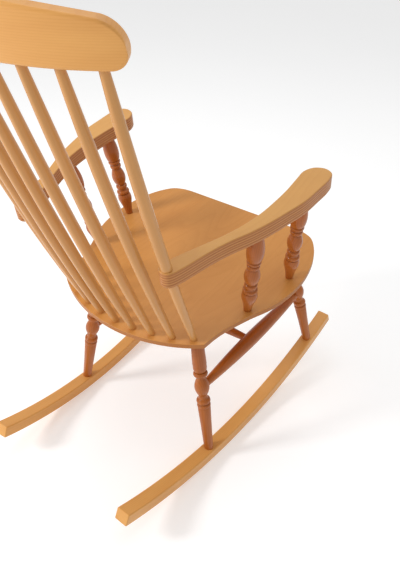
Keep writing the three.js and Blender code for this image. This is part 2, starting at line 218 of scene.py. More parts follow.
class Graph:
    """A node tree, for a material or for geometry."""

    def __init__(self, tree):
        self.tree = tree
        self.tree.nodes.clear()

    def add(self, kind, settings=None, inputs=None, output=0):
        node = self.tree.nodes.new(kind)
        for name, value in (settings or {}).items():
            if name == "stops":
                self.set_stops(node.color_ramp, value)
            else:
                setattr(node, name, value)
        for key, value in (inputs or {}).items():
            socket = pick(node.inputs, key)
            if isinstance(value, Wire):
                self.tree.links.new(value.socket, socket)
            else:
                socket.default_value = value
        return Wire(self, pick(node.outputs, output)) if len(node.outputs) else node

    def set_stops(self, ramp, stops):
        while len(ramp.elements) < len(stops):
            ramp.elements.new(1.0)
        for element, (place, value) in zip(ramp.elements, stops):
            element.position = place
            element.color = (value, value, value, 1)

    def math(self, operation, *values):
        return self.add("ShaderNodeMath", {"operation": operation}, dict(enumerate(values)))

    def vector(self, operation, *values):
        return self.add("ShaderNodeVectorMath", {"operation": operation}, dict(enumerate(values)))

    def combine(self, x, y, z):
        return self.add("ShaderNodeCombineXYZ", None, {"X": x, "Y": y, "Z": z})

    def separate(self, vector):
        node = self.add("ShaderNodeSeparateXYZ", None, {0: vector}).socket.node
        return [Wire(self, socket) for socket in node.outputs]


# %% [markdown]
# ## Wood
# Beech is a plain, close wood. What gives it away is the fine dark fleck of its rays, a faint line
# for each year's growth, and a slow drift of tone along a board. None of it is painted on a flat
# picture: the pattern fills space, as it fills a tree, and each piece is cut out of it. For that
# every mesh carries an attribute `wood`, the place of a point inside its own board in millimetres,
# with the grain along the attribute's z on solid pieces. So a turned leg shows rings where the
# lathe cut across them, and the edge of a plywood arm shows its layers. Under clear lacquer the
# wood's own reflection is weak: most of the gloss is the coat's.

# %% Helpers for the wood pattern
def linear(red, green, blue):
    """A colour as light adds up, from the 0 to 255 numbers of a colour chart."""
    return tuple(((v / 255 + 0.055) / 1.055) ** 2.4 for v in (red, green, blue)) + (1,)


def darker(colour, share):
    return tuple(v * share for v in colour[:3]) + (1,)


def mix_colour(graph, factor, low, high):
    return graph.add(
        "ShaderNodeMix",
        {"data_type": "RGBA"},
        {"Factor_Float": factor, "A_Color": low, "B_Color": high},
        "Result_Color",
    )


def tinted(graph, tone, light, dark):
    """From light to dark by a tone that may run past 0 and 1."""
    return mix_colour(graph, graph.add("ShaderNodeClamp", None, {"Value": tone}), light, dark)


def ramp(graph, value, stops):
    return graph.add("ShaderNodeValToRGB", {"stops": stops}, {"Fac": value})


def noise(graph, place, stretch, detail=2.0, roughness=0.5):
    """Cloudy noise from 0 to 1; stretch is how many clouds there are to a millimetre each way."""
    squeezed = graph.vector("MULTIPLY", place, stretch)
    return graph.add(
        "ShaderNodeTexNoise",
        None,
        {"Vector": squeezed, "Scale": 1.0, "Detail": detail, "Roughness": roughness},
    )


def flecks(graph, place, stretch, size):
    """Short dark marks: 1 inside a mark, 0 outside."""
    squeezed = graph.vector("MULTIPLY", place, stretch)
    cells = graph.add("ShaderNodeTexVoronoi", None, {"Vector": squeezed, "Scale": 1.0, "Randomness": 1.0})
    return ramp(graph, cells, [(0.0, 1.0), (size, 0.0)])


def new_material(name):
    material = bpy.data.materials.new(name)
    material.use_nodes = True
    return material, Graph(material.node_tree)


RELIEF = 0.06  # millimetres that the fibres stand up under the lacquer


def lacquer(graph, colour, roughness, height, coat_weight, coat_roughness):
    """Clear lacquer over wood: the wood's own soft gloss, and a thin hard coat above it."""
    bump = graph.add("ShaderNodeBump", None, {"Strength": 1.0, "Distance": RELIEF * MM, "Height": height})
    shader = graph.add(
        "ShaderNodeBsdfPrincipled",
        None,
        {
            "Base Color": colour,
            "Roughness": roughness,
            "Normal": bump,
            "IOR": 1.5,
            "Specular IOR Level": 0.2,
            "Coat Weight": coat_weight,
            "Coat Roughness": coat_roughness,
            "Coat IOR": 1.5,
        },
    )
    graph.add("ShaderNodeOutputMaterial", None, {"Surface": shader})


# %% [markdown]
# ## Solid beech
# The turned and the bent pieces are cut from boards. The distance from the tree's middle, bent a
# little by noise, counts the growth rings, and the end of each ring is a thin darker line. In the
# narrow grooves between the beads of a turned piece the material darkens, partly as stain and partly
# as painted shade: the lathe profile writes how deep a groove is in a second attribute, `groove`.
# The spindles carry a third attribute, which makes them paler and yellower than the legs and posts.

# %% Solid beech material
RING = 3.4  # millimetres of growth in a year
WANDER = 16  # how far a ring strays from a true circle
PALE_SPINDLE_COLOUR = linear(232, 184, 112)  # the paler, yellower colour that the spindles are mixed towards


def solid_beech(name, light, dark, coat_weight, turned_piece):
    material, graph = new_material(name)
    place = graph.add("ShaderNodeAttribute", {"attribute_name": "wood"}, None, "Vector")
    x, y, _ = graph.separate(place)
    stray = noise(graph, place, (0.013, 0.013, 0.0024))
    distance = graph.math("SQRT", x * x + y * y) + stray * WANDER
    year = graph.math("FRACT", distance / RING)
    latewood = ramp(graph, year, [(0.0, 0.0), (0.5, 0.05), (0.92, 1.0), (1.0, 0.0)])
    fibre = noise(graph, place, (2.4, 2.4, 0.06), 3.0, 0.6)
    drift = noise(graph, place, (0.03, 0.03, 0.007))
    rays = flecks(graph, place, (0.95, 0.95, 0.3), 0.22)
    tone = drift * 0.8 + fibre * 0.28 + latewood * 0.18 - 0.14
    colour = tinted(graph, tone, light, dark)
    colour = mix_colour(graph, rays * 0.3, colour, dark)
    if turned_piece:
        # In the grooves the colour darkens towards a deep brown by the groove's depth: partly stain, partly
        # painted shade.
        groove = graph.add("ShaderNodeAttribute", {"attribute_name": "groove"}, None, "Fac")
        colour = mix_colour(graph, groove * 0.55, colour, darker(dark, 0.45))
        bleached = graph.add("ShaderNodeAttribute", {"attribute_name": "bleached"}, None, "Fac")
        colour = mix_colour(graph, bleached * 0.45, colour, PALE_SPINDLE_COLOUR)
    roughness = fibre * 0.12 + drift * 0.1 + 0.26
    height = fibre - rays * 0.5 - latewood * 0.2
    lacquer(graph, colour, roughness, height, coat_weight, 0.1)
    return material


# The turned pieces are darker and redder than the bent ones: partly the wood's own tone, partly painted
# shade, as most of them stand under the seat and the arms.
TURNED = solid_beech("turned_beech", linear(188, 108, 42), linear(136, 66, 20), 0.35, True)
BENT = solid_beech("bent_beech", linear(228, 170, 96), linear(202, 138, 70), 0.12, False)
print("solid beech:", TURNED.name, BENT.name)

# %% [markdown]
# ## Plywood
# Plywood is peeled off the log like paper off a roll, so its face shows wide wandering contours
# instead of straight rings. The layers are glued with the grain crossed, and a cut edge shows them:
# light where it runs along the fibres, dark where it cuts across them, with a thin glue line
# between. The layers are counted from the nearer face, because a sheet of plywood is made the same
# from both sides.

# %% Plywood material
def plywood(name, thick, layers, light, dark, end_grain):
    material, graph = new_material(name)
    veneer = thick / layers
    place = graph.add("ShaderNodeAttribute", {"attribute_name": "wood"}, None, "Vector")
    z = graph.separate(place)[2]
    depth = graph.math("MINIMUM", z * -1.0, z + thick)
    count = depth / veneer + 0.001
    layer = graph.math("FLOOR", count)
    crossed = graph.math("MODULO", layer, 2.0)
    inner = graph.math("GREATER_THAN", count, 0.3)
    glue = ramp(graph, graph.math("FRACT", count), [(0.0, 1.0), (0.1, 0.0)]) * inner

    figure = noise(graph, place, (0.011, 0.0019, 0.0), 1.5, 0.4)
    contour = ramp(
        graph,
        graph.math("FRACT", figure * 15.0),
        [(0.0, 0.0), (0.45, 0.1), (0.9, 1.0), (1.0, 0.0)],
    )
    fibre_along = noise(graph, place, (1.7, 0.045, 1.7), 3.0, 0.6)
    fibre_across = noise(graph, place, (0.5, 0.5, 1.6), 3.0, 0.6)
    drift = noise(graph, place, (0.012, 0.005, 0.0))
    rays = flecks(graph, place, (0.8, 0.25, 0.8), 0.24)
    tone = drift * 0.7 + fibre_along * 0.5 + contour * 0.12 - 0.22
    face = tinted(graph, tone, light, dark)
    face = mix_colour(graph, rays * 0.28, face, dark)

    shade = graph.add("ShaderNodeTexWhiteNoise", {"noise_dimensions": "1D"}, {"W": layer}, "Value")
    edge_tone = crossed * 0.62 + shade * 0.25 + fibre_across * 0.3 - 0.12
    edge = tinted(graph, edge_tone, dark, end_grain)
    colour = mix_colour(graph, inner, face, edge)
    colour = mix_colour(graph, glue * 0.7, colour, darker(end_grain, 0.5))

    roughness = fibre_along * 0.1 + drift * 0.12 + crossed * 0.12 + 0.28
    height = fibre_along - rays * 0.4 - crossed * fibre_across * 1.5 - glue
    lacquer(graph, colour, roughness, height, 0.12, 0.2)
    return material


SEAT_PLY = plywood(
    "seat_plywood", SEAT_THICK, 9, linear(206, 145, 77), linear(180, 117, 55), linear(164, 100, 52),
)
ARM_PLY = plywood(
    "arm_plywood", ARM_THICK, 13, linear(213, 162, 92), linear(194, 136, 76), linear(160, 92, 47),
)
print("plywood:", SEAT_PLY.name, ARM_PLY.name)

# %% [markdown]
# ## Making and placing a piece
# Every piece is worked out in the drawing, in millimetres. `settle` evaluates its modifiers into a
# plain mesh and moves that mesh into the room, so the object itself stays at the origin. The edges
# that are sharper than the limit stay sharp and the rest are shaded round; weighting the normals by
# face area keeps the large flat faces flat right up to their rounded edges.

# %% Helpers for the pieces
SHARP = math.radians(40)
pieces = {}


def mesh_object(name, points, edges=(), faces=()):
    mesh = bpy.data.meshes.new(name)
    mesh.from_pydata([tuple(p) for p in points], edges, faces)
    piece = bpy.data.objects.new(name, mesh)
    bpy.context.scene.collection.objects.link(piece)
    return piece


def bake_modifiers(piece):
    """The piece's modifiers become its mesh."""
    bpy.context.view_layer.update()
    evaluated = piece.evaluated_get(bpy.context.evaluated_depsgraph_get())
    mesh = bpy.data.meshes.new_from_object(evaluated)
    piece.modifiers.clear()
    old = piece.data
    piece.data = mesh
    bpy.data.meshes.remove(old)
    mesh.name = piece.name


def face_outwards(mesh):
    """Turns the faces so that the closed mesh holds a positive volume."""
    shape = bmesh.new()
    shape.from_mesh(mesh)
    bmesh.ops.remove_doubles(shape, verts=shape.verts, dist=1e-4)
    bmesh.ops.recalc_face_normals(shape, faces=shape.faces)
    if shape.calc_volume(signed=True) < 0:
        bmesh.ops.reverse_faces(shape, faces=shape.faces)
    shape.to_mesh(mesh)
    shape.free()


def settle(piece):
    bake_modifiers(piece)
    face_outwards(piece.data)
    piece.data.transform(CHAIR)
    return piece


def weigh_normals(piece):
    piece.data.polygons.foreach_set("use_smooth", [True] * len(piece.data.polygons))
    piece.data.set_sharp_from_angle(angle=SHARP)
    modifier = piece.modifiers.new("weighted", "WEIGHTED_NORMAL")
    modifier.keep_sharp = True
    bake_modifiers(piece)


def finish_piece(piece, node):
    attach(piece, "root")
    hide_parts(node)
    pieces[node] = piece
    return piece


# %% [markdown]
# ## Turning on the lathe
# Legs, posts and stretchers are turned: a profile spun round an axis. The profile is a list of
# stations, a distance along the axis and a radius. A swelling is a sine arch, a bead is half an
# ellipse, and straight lines join them. The spine of the piece is a string of points that carry the
# radius; a small node tree sweeps a circle along it. The bent spindles have their own tree of the same kind.

# %% Profile shapes
def swelling(s0, r0, s1, r1, fattest, peak, steps=22):
    """Stations over a swelling that is fattest part of the way along, at peak."""
    power = math.log(0.5) / math.log(peak)
    stations = []
    for i in range(steps + 1):
        t = i / steps
        base = r0 + (r1 - r0) * t
        stations.append((s0 + (s1 - s0) * t, base + (fattest - base) * math.sin(math.pi * t ** power)))
    return stations


def bead(s, width, low, high, steps=10):
    """Stations over a round ring that stands proud of the shaft."""
    stations = []
    for i in range(steps + 1):
        u = -math.cos(math.pi * i / steps)
        stations.append((s + u * width / 2, low + (high - low) * math.sqrt(max(0.0, 1 - u * u))))
    return stations


def groove_depths(stations, reach=6.0, full=4.5):
    """How deep each station lies between its neighbours within reach, from 0 to 1."""
    depths = []
    for s, r in stations:
        below = max(r1 for s1, r1 in stations if s - reach <= s1 <= s)
        above = max(r1 for s1, r1 in stations if s <= s1 <= s + reach)
        depths.append(min(1.0, (min(below, above) - r) / full))
    return depths


# %% The sweeping node tree
def geometry_tree(name, inputs):
    """A node tree for geometry with named inputs: {name: (socket type, default value)}."""
    tree = bpy.data.node_groups.new(name, "GeometryNodeTree")
    tree.interface.new_socket("Geometry", in_out="INPUT", socket_type="NodeSocketGeometry")
    for label, (kind, value) in inputs.items():
        socket = tree.interface.new_socket(label, in_out="INPUT", socket_type="NodeSocket" + kind)
        if value is not None:
            socket.default_value = value
    tree.interface.new_socket("Geometry", in_out="OUTPUT", socket_type="NodeSocketGeometry")
    graph = Graph(tree)
    source = tree.nodes.new("NodeGroupInput")
    return graph, {socket.name: Wire(graph, socket) for socket in source.outputs if socket.name}


def named(graph, name, kind="FLOAT"):
    return graph.add("GeometryNodeInputNamedAttribute", {"data_type": kind}, {"Name": name})


def stored(graph, geometry, name, value, kind="FLOAT"):
    return graph.add(
        "GeometryNodeStoreNamedAttribute",
        {"data_type": kind, "domain": "POINT"},
        {"Geometry": geometry, "Name": name, "Value": value},
    )


def close_tree(graph, mesh, material):
    smooth = graph.add("GeometryNodeSetShadeSmooth", None, {"Geometry": mesh, "Shade Smooth": True})
    real = graph.add("GeometryNodeRealizeInstances", None, {"Geometry": smooth})
    painted = graph.add("GeometryNodeSetMaterial", None, {"Geometry": real, "Material": material})
    graph.tree.nodes.new("NodeGroupOutput")
    output = graph.tree.nodes[-1]
    graph.tree.links.new(painted.socket, output.inputs[0])


def swept(graph, path, profile, scale, offset):
    """A profile swept along a path whose points carry `along`; each point gets its place in the board."""
    section = graph.add("GeometryNodeInputPosition")
    profile = stored(graph, profile, "section", section, "FLOAT_VECTOR")
    path = stored(graph, path, "swell", scale)
    mesh = graph.add(
        "GeometryNodeCurveToMesh",
        None,
        {"Curve": path, "Profile Curve": profile, "Scale": named(graph, "swell"), "Fill Caps": True},
    )
    x, y, _ = graph.separate(named(graph, "section", "FLOAT_VECTOR"))
    grown = named(graph, "swell")
    inside = graph.combine(x * grown, y * grown, named(graph, "along"))
    return stored(graph, mesh, "wood", graph.vector("ADD", inside, offset), "FLOAT_VECTOR")


def unit_circle(graph, sides):
    return graph.add("GeometryNodeCurvePrimitiveCircle", None, {"Resolution": sides, "Radius": 1.0})


def build_turning_tree():
    graph, given = geometry_tree("turning", {
        "Sides": ("Int", 48),
        "Board offset": ("Vector", None),
        "Material": ("Material", None),
    })
    path = graph.add("GeometryNodeMeshToCurve", None, {"Mesh": given["Geometry"]})
    circle = unit_circle(graph, given["Sides"])
    mesh = swept(graph, path, circle, named(graph, "turned_radius"), given["Board offset"])
    close_tree(graph, mesh, given["Material"])
    return graph.tree


TURNING = build_turning_tree()


def set_inputs(modifier, values):
    """Sets a modifier's inputs by their labels: the modifier knows them by identifier only."""
    for item in modifier.node_group.interface.items_tree:
        if item.in_out == "INPUT" and item.name in values:
            modifier[item.identifier] = values[item.name]


def board_offset(name):
    """Where in the tree a piece was cut: off the middle by a hand's breadth, and the same on every run."""
    draw = random.Random(name)
    angle = draw.uniform(0, 2 * math.pi)
    distance = draw.uniform(35, 80)
    return (distance * math.cos(angle), distance * math.sin(angle), draw.uniform(0, 4000))


def turned(name, stations, start, direction, sides=48):
    """A straight turned piece; stations are (distance from start, radius)."""
    points = [start + direction * s for s, _ in stations]
    piece = mesh_object(name, points, [(i, i + 1) for i in range(len(points) - 1)])
    columns = {
        "turned_radius": [r for _, r in stations],
        "along": [s for s, _ in stations],
        # how deep each station lies in a groove; the material darkens there, partly stain and partly painted
        # shade
        "groove": groove_depths(stations),
    }
    for label, values in columns.items():
        piece.data.attributes.new(label, "FLOAT", "POINT").data.foreach_set("value", values)
    modifier = piece.modifiers.new("turning", "NODES")
    modifier.node_group = TURNING
    set_inputs(modifier, {"Sides": sides, "Board offset": board_offset(name), "Material": TURNED})
    settle(piece)
    piece.data.set_sharp_from_angle(angle=SHARP)
    return piece


# %% [markdown]
# ## The rockers
# A rocker is a strip of beech bent along an arc, as wide as it is thick. Its tree works the path out
# from the arc's radius and the two angles where it starts and ends, and sweeps a rounded rectangle
# along it. The two rockers run closer together to the back, which is the `Toe` input.

# %% Rockers
def build_rocker_tree():
    graph, given = geometry_tree("rocker", {
        "Side": ("Float", 1.0),
        "Toe": ("Float", ROCKER_TOE),
        "Arc radius": ("Float", ROCKER_RADIUS),
        "Front angle": ("Float", 0.0),
        "Rear angle": ("Float", 0.0),
        "Width": ("Float", ROCKER_WIDTH),
        "Thickness": ("Float", ROCKER_THICK),
        "Edge": ("Float", ROCKER_EDGE),
        "Board offset": ("Vector", None),
        "Material": ("Material", None),
    })
    line = graph.add("GeometryNodeCurvePrimitiveLine", None, {"Start": (0, 0, 0), "End": (0, 1, 0)})
    line = graph.add("GeometryNodeResampleCurve", None, {"Curve": line, "Count": 128})
    share = graph.add("GeometryNodeSplineParameter", None, None, "Factor")
    angle = given["Front angle"] + share * (given["Rear angle"] - given["Front angle"])
    radius = given["Arc radius"] + given["Thickness"] * 0.5
    sine = graph.math("SINE", angle)
    x = given["Side"] * (sine * given["Arc radius"] * given["Toe"] + ROCKER_X)
    y = sine * radius + ROCKER_LOW_Y
    z = given["Arc radius"] + ROCKER_LOW_Z - graph.math("COSINE", angle) * radius
    place = graph.combine(x, y, z)
    path = stored(graph, line, "along", angle * radius)
    path = graph.add("GeometryNodeSetPosition", None, {"Geometry": path, "Position": place})
    path = graph.add("GeometryNodeSetCurveNormal", {"mode": "Z_UP"}, {"Curve": path})
    rectangle = graph.add(
        "GeometryNodeCurvePrimitiveQuadrilateral",
        None,
        {"Width": given["Width"], "Height": given["Thickness"]},
    )
    rounded = graph.add(
        "GeometryNodeFilletCurve",
        {"mode": "POLY"},
        {"Curve": rectangle, "Count": 6, "Radius": given["Edge"], "Limit Radius": True},
    )
    mesh = swept(graph, path, rounded, 1.0, given["Board offset"])
    close_tree(graph, mesh, given["Material"])
    return graph.tree


ROCKER = build_rocker_tree()


def rocker(side_name):
    name = "rocker_" + side_name
    piece = mesh_object(name, [])
    modifier = piece.modifiers.new("rocker", "NODES")
    modifier.node_group = ROCKER
    set_inputs(modifier, {
        "Side": float(SIDES[side_name]),
        "Front angle": math.asin((ROCKER_FRONT_Y - ROCKER_LOW_Y) / ROCKER_RADIUS),
        "Rear angle": math.asin((ROCKER_REAR_Y - ROCKER_LOW_Y) / ROCKER_RADIUS),
        "Board offset": board_offset(name),
        "Material": BENT,
    })
    rounding = piece.modifiers.new("ends", "BEVEL")
    rounding.width = ROCKER_EDGE * 0.8
    rounding.segments = 4
    rounding.limit_method = "ANGLE"
    rounding.angle_limit = math.radians(60)
    return settle(piece)


def on_rocker(side, y):
    """The middle of the rocker's top face at y."""
    angle = math.asin((y - ROCKER_LOW_Y) / ROCKER_RADIUS)
    return Vector((
        side * (ROCKER_X + ROCKER_TOE * (y - ROCKER_LOW_Y)),
        y,
        ROCKER_LOW_Z + ROCKER_RADIUS * (1 - math.cos(angle)),
    ))


# %% [markdown]
# ## The legs
# A leg tapers up from the rocker, passes two beads, swells into the ball that takes the side
# stretcher, and ends in a long smooth shoulder under the seat. Its foot and its top run on into the
# rocker and the seat as tenons, so no gap shows at the joint.

# %% Legs
def leg_turning(ball):
    return [
        (-LEG_TENON["rocker_deep"], LEG_TENON["rocker_r"]),
        (-6, LEG_TENON["rocker_r"]),
        (-6, 10.4),
        (0, 10.4),
        (40, 11.4),
        (76, 12.7),
        (ball - 55.5, 14.2),
        *bead(ball - 48.5, 8, 13.2, 15),
        *bead(ball - 36.5, 11, 12, 15.4),
        (ball - 28.5, 10),
        *swelling(ball - 22.5, 9.4, ball + 22.5, 9.3, LEG_BALL_R, 0.5),
        (ball + 25, 9.2),
        *bead(ball + 34, 11, 11.5, 15.7),
        *swelling(ball + 41, 12.6, ball + 60, 15.2, 14.9, 0.5, 8),
        (262, 14.1),
        (LEG_LENGTH, 13.2),
        (LEG_LENGTH + 8, 13.2),
        (LEG_LENGTH + 8, LEG_TENON["seat_r"]),
        (LEG_LENGTH + LEG_TENON["seat_deep"], LEG_TENON["seat_r"]),
    ]


def leg_line(side, place):
    """Foot, direction and length of a leg."""
    foot = on_rocker(side, place["foot"])
    top = Vector((side * place["top"][0], place["top"][1], -SEAT_THICK))
    return foot, (top - foot).normalized(), (top - foot).length


def leg(side_name, where):
    foot, direction, length = leg_line(SIDES[side_name], LEG[where])
    factor = length / LEG_LENGTH
    stations = [(s * factor, r) for s, r in leg_turning(LEG[where]["ball"])]
    return turned("leg_" + where + "_" + side_name, stations, foot, direction)


def stretcher_entry(side, where):
    """Where the side stretcher's axis meets the leg's."""
    foot, direction, length = leg_line(side, LEG[where])
    return foot + direction * (length * LEG[where]["entry"] / LEG_LENGTH)


for side_name in SIDES:
    finish_piece(rocker(side_name), "rocker_" + side_name)
    for where in LEG:
        finish_piece(leg(side_name, where), "leg_" + where + "_" + side_name)
print("legs:", sum(len(p.data.vertices) for n, p in pieces.items() if n.startswith("leg")), "points")

# %% [markdown]
# ## The stretchers
# Two cigar-shaped rods tie the front leg to the rear one on each side, and a third ties those two
# together across the middle.

# %% Stretchers
def stretcher(name, start, end, inset, middle):
    length = (end - start).length
    stations = swelling(inset, STRETCHER_END_R, length - inset, STRETCHER_END_R, middle, 0.5, 60)
    return turned(name, stations, start, (end - start).normalized())


crossings = []
for side_name, side in SIDES.items():
    name = "side_stretcher_" + side_name
    rear, front = (stretcher_entry(side, where) for where in ("rear", "front"))
    finish_piece(stretcher(name, rear, front, LEG_BALL_R / 2, STRETCHER_MIDDLE_R), name)
    crossings.append(rear.lerp(front, CROSS_AT))
cross = stretcher("cross_stretcher", *crossings, STRETCHER_MIDDLE_R / 2, CROSS_MIDDLE_R)
finish_piece(cross, "cross_stretcher")

# %% [markdown]
# ## The arm posts
# The posts are the fanciest turnings: a foot like a slim vase, two beads, a barrel, a bead again and
# a second barrel under the arm. They lean outward and a little backward.

# %% Posts
POST_TURNING = [
    (-POST_TENON["seat_deep"], POST_TENON["seat_r"]),
    *swelling(0, 8, 58, 13.6, 16.2, 0.8),
    *bead(63.2, 9.5, 11.6, 15),
    (70.6, 10.6),
    *bead(78, 9, 10.8, 13.2),
    *swelling(83.5, 10, 127, 10, 15.8, 0.48),
    *bead(133, 9, 10.6, 12.8),
    (139.5, 10.2),
    *bead(144.5, 7, 12, 14),
    *swelling(149, 13, POST_LENGTH + 4, 11.4, 17, 0.38),
    (POST_LENGTH + 4, POST_TENON["arm_r"]),
    (POST_LENGTH + POST_TENON["arm_deep"], POST_TENON["arm_r"]),
]


def post(side_name, where):
    side = SIDES[side_name]
    place = POST[where]
    foot = Vector((side * place["x"], place["y"], 0))
    along = Vector((side * place["outward"], place["rearward"], 1))
    top = (ARM_TOP - ARM_THICK + ARM_PITCH * place["y"]) / (1 - ARM_PITCH * place["rearward"])
    factor = top * along.length / POST_LENGTH
    stations = [(s * factor, r) for s, r in POST_TURNING]
    return turned("arm_post_" + where + "_" + side_name, stations, foot, along.normalized())


for side_name in SIDES:
    for where in POST:
        finish_piece(post(side_name, where), "arm_post_" + where + "_" + side_name)

# %% [markdown]
# ## The back spindles
# Nine rods stand in an arc round the back of the seat. Each is bent, so that it leans back quickly
# at the seat and more slowly above, and the outer ones also fan outward. All of that is one rule
# with the socket's angle as its input, so one node tree makes all nine: it starts from a straight
# line, moves its points to where the rule says, and sweeps a circle that is fattest in the middle.

# %% Spindles
def build_spindle_tree():
    graph, given = geometry_tree("back_spindle", {
        "Angle": ("Float", 0.0),
        "Arc radius": ("Float", SPINDLE_ARC),
        "Arc centre": ("Float", SPINDLE_ARC_Y),
        "Lean": ("Float", SPINDLE_LEAN),
        "Bow": ("Float", SPINDLE_BOW),
        "Fan": ("Float", SPINDLE_FAN),
        "Foot radius": ("Float", SPINDLE_R["foot"]),
        "Middle radius": ("Float", SPINDLE_R["middle"]),
        "Top radius": ("Float", SPINDLE_R["top"]),
        "Board offset": ("Vector", None),
        "Material": ("Material", None),
    })
    line = graph.add("GeometryNodeCurvePrimitiveLine", None, {
        "Start": (0, 0, -SPINDLE_SOCKET),
        "End": (0, 0, CREST_BASE + CREST_SOCKET),
    })
    line = graph.add("GeometryNodeResampleCurve", None, {"Curve": line, "Count": 72})
    height = graph.separate(graph.add("GeometryNodeInputPosition"))[2]
    line = stored(graph, line, "along", height)
    line = stored(graph, line, "bleached", 1.0)
    share = graph.add("ShaderNodeClamp", None, {"Value": height / CREST_BASE})
    base = given["Foot radius"] + (given["Top radius"] - given["Foot radius"]) * share
    arch = graph.math("SINE", share * math.pi) ** 0.75
    line = stored(graph, line, "spindle_radius", base + (given["Middle radius"] - base) * arch)
    sine = graph.math("SINE", given["Angle"])
    fan = given["Fan"] * sine * graph.math("ABSOLUTE", sine) * height
    x = given["Arc radius"] * sine + fan
    rest = given["Arc centre"] + given["Arc radius"] * graph.math("COSINE", given["Angle"])
    y = rest + given["Lean"] * height - given["Bow"] * height * height * 0.5
    place = graph.combine(x, y, height)
    path = graph.add("GeometryNodeSetPosition", None, {"Geometry": line, "Position": place})
    circle = unit_circle(graph, SPINDLE_SIDES)
    mesh = swept(graph, path, circle, named(graph, "spindle_radius"), given["Board offset"])
    close_tree(graph, mesh, given["Material"])
    return graph.tree


SPINDLE = build_spindle_tree()


def spindle_angle(i):
    return (i - (SPINDLES - 1) / 2) * SPINDLE_STEP


def spindle_point(i, height):
    """The middle of spindle i at a height above the seat, by the same rule as the node tree."""
    sine = math.sin(spindle_angle(i))
    x = SPINDLE_ARC * sine + SPINDLE_FAN * sine * abs(sine) * height
    y = SPINDLE_ARC_Y + SPINDLE_ARC * math.cos(spindle_angle(i))
    return Vector((x, y + SPINDLE_LEAN * height - SPINDLE_BOW * height ** 2 / 2, height))


for i in range(SPINDLES):
    name = f"back_spindle_{i + 1}"
    piece = mesh_object(name, [])
    modifier = piece.modifiers.new("spindle", "NODES")
    modifier.node_group = SPINDLE
    set_inputs(modifier, {"Angle": spindle_angle(i), "Board offset": board_offset(name), "Material": TURNED})
    finish_piece(settle(piece), name)
print("a spindle has", len(pieces["back_spindle_1"].data.vertices), "points")

# %% [markdown]
# ## The crest rail
# The crest rail is a board bent to the curve of the spindles' tops and leaning with them. It is
# taller in the middle, and its ends are rounded. No single rule sweeps it, so it is lofted: a row of
# rounded rectangles, each turned to the curve, joined ring to ring.

# %% Crest rail
def rounded_rectangle(low_w, high_w, low_v, high_v, radius, steps=5):
    corners = [
        (high_w - radius, high_v - radius, 0),
        (low_w + radius, high_v - radius, 1),
        (low_w + radius, low_v + radius, 2),
        (high_w - radius, low_v + radius, 3),
    ]
    outline = []
    for w, v, quarter in corners:
        for k in range(steps + 1):
            angle = math.pi / 2 * (quarter + k / steps)
            outline.append((w + radius * math.cos(angle), v + radius * math.sin(angle)))
    return outline


def crest_rail():
    end = spindle_point(SPINDLES - 1, CREST_BASE)
    middle = spindle_point((SPINDLES - 1) / 2, CREST_BASE)
    sag = middle.y - end.y
    radius = (end.x ** 2 + sag ** 2) / (2 * sag)
    back_lean = SPINDLE_LEAN - SPINDLE_BOW * CREST_BASE
    reach = radius * math.asin(end.x / radius) + CREST_OVERHANG
    rounding = CREST_END_HEIGHT * 0.45
    stations = 96
    points, wood = [], []
    offset = Vector(board_offset("crest_rail"))
    for k in range(stations + 1):
        t = -math.cos(math.pi * k / stations)
        u = reach * t
        fall = max(0.0, abs(u) - (reach - rounding)) / rounding
        arch = max(0.0, math.cos(t * math.pi / 2)) ** 0.8
        tall = CREST_END_HEIGHT + (CREST_HEIGHT - CREST_END_HEIGHT) * arch
        drop = tall * 0.42 * (1 - math.sqrt(max(0.0, 1 - fall ** 2)))
        edge = min(CREST_EDGE, (tall - 2 * drop) / 3)
        for w, v in rounded_rectangle(-CREST_THICK / 2, CREST_THICK / 2, drop, tall - drop, edge):
            angle = u / radius
            points.append(Vector((
                (radius + w) * math.sin(angle),
                middle.y - radius + (radius + w) * math.cos(angle) + back_lean * v,
                CREST_BASE + v,
            )))
            wood.append(offset + Vector((w, v, u)))
    count = len(points) // (stations + 1)
    faces = [
        (k * count + j, k * count + (j + 1) % count, (k + 1) * count + (j + 1) % count, (k + 1) * count + j)
        for k in range(stations)
        for j in range(count)
    ]
    faces.append(tuple(range(count)))
    faces.append(tuple(stations * count + j for j in reversed(range(count))))
    piece = mesh_object("crest_rail", points, (), faces)
    store_wood(piece.data, wood)
    return settle(piece)


def store_wood(mesh, places):
    attribute = mesh.attributes.get("wood") or mesh.attributes.new("wood", "FLOAT_VECTOR", "POINT")
    attribute.data.foreach_set("vector", [v for place in places for v in place])


finish_piece(crest_rail(), "crest_rail")

# %% [markdown]
# ## Seat and arms
# Both are sawn from plywood along a smooth outline, and their edges are rounded with a router. The
# outline is a smooth line through a few points, as a template maker would bend a spline through
# pins. The solid is the outline pulled through the thickness, with its lower rim cut back a little,
# and a Bevel modifier rounds its rims.

# %% Outlines
def through(points, closed, steps):
    """A smooth line through the points: a centripetal Catmull-Rom spline."""
    points = [Vector(p) for p in points]
    count = len(points)

    def at(i):
        if closed:
            return points[i % count]
        if i < 0:
            return points[0] * 2 - points[1]
        return points[i] if i < count else points[-1] * 2 - points[-2]

    line = []
    for i in range(count if closed else count - 1):
        before, start, end, after = (at(i + k) for k in (-1, 0, 1, 2))
        gap = [math.sqrt((b - a).length) for a, b in ((before, start), (start, end), (end, after))]
        leave = end - start + ((start - before) / gap[0] - (end - before) / (gap[0] + gap[1])) * gap[1]
        arrive = end - start + ((after - end) / gap[2] - (after - start) / (gap[1] + gap[2])) * gap[1]
        for k in range(steps):
            u = k / steps
            line.append(
                start * (2 * u ** 3 - 3 * u ** 2 + 1)
                + leave * (u ** 3 - 2 * u ** 2 + u)
                + end * (3 * u ** 2 - 2 * u ** 3)
                + arrive * (u ** 3 - u ** 2)
            )
    return line if closed else line + [points[-1]]


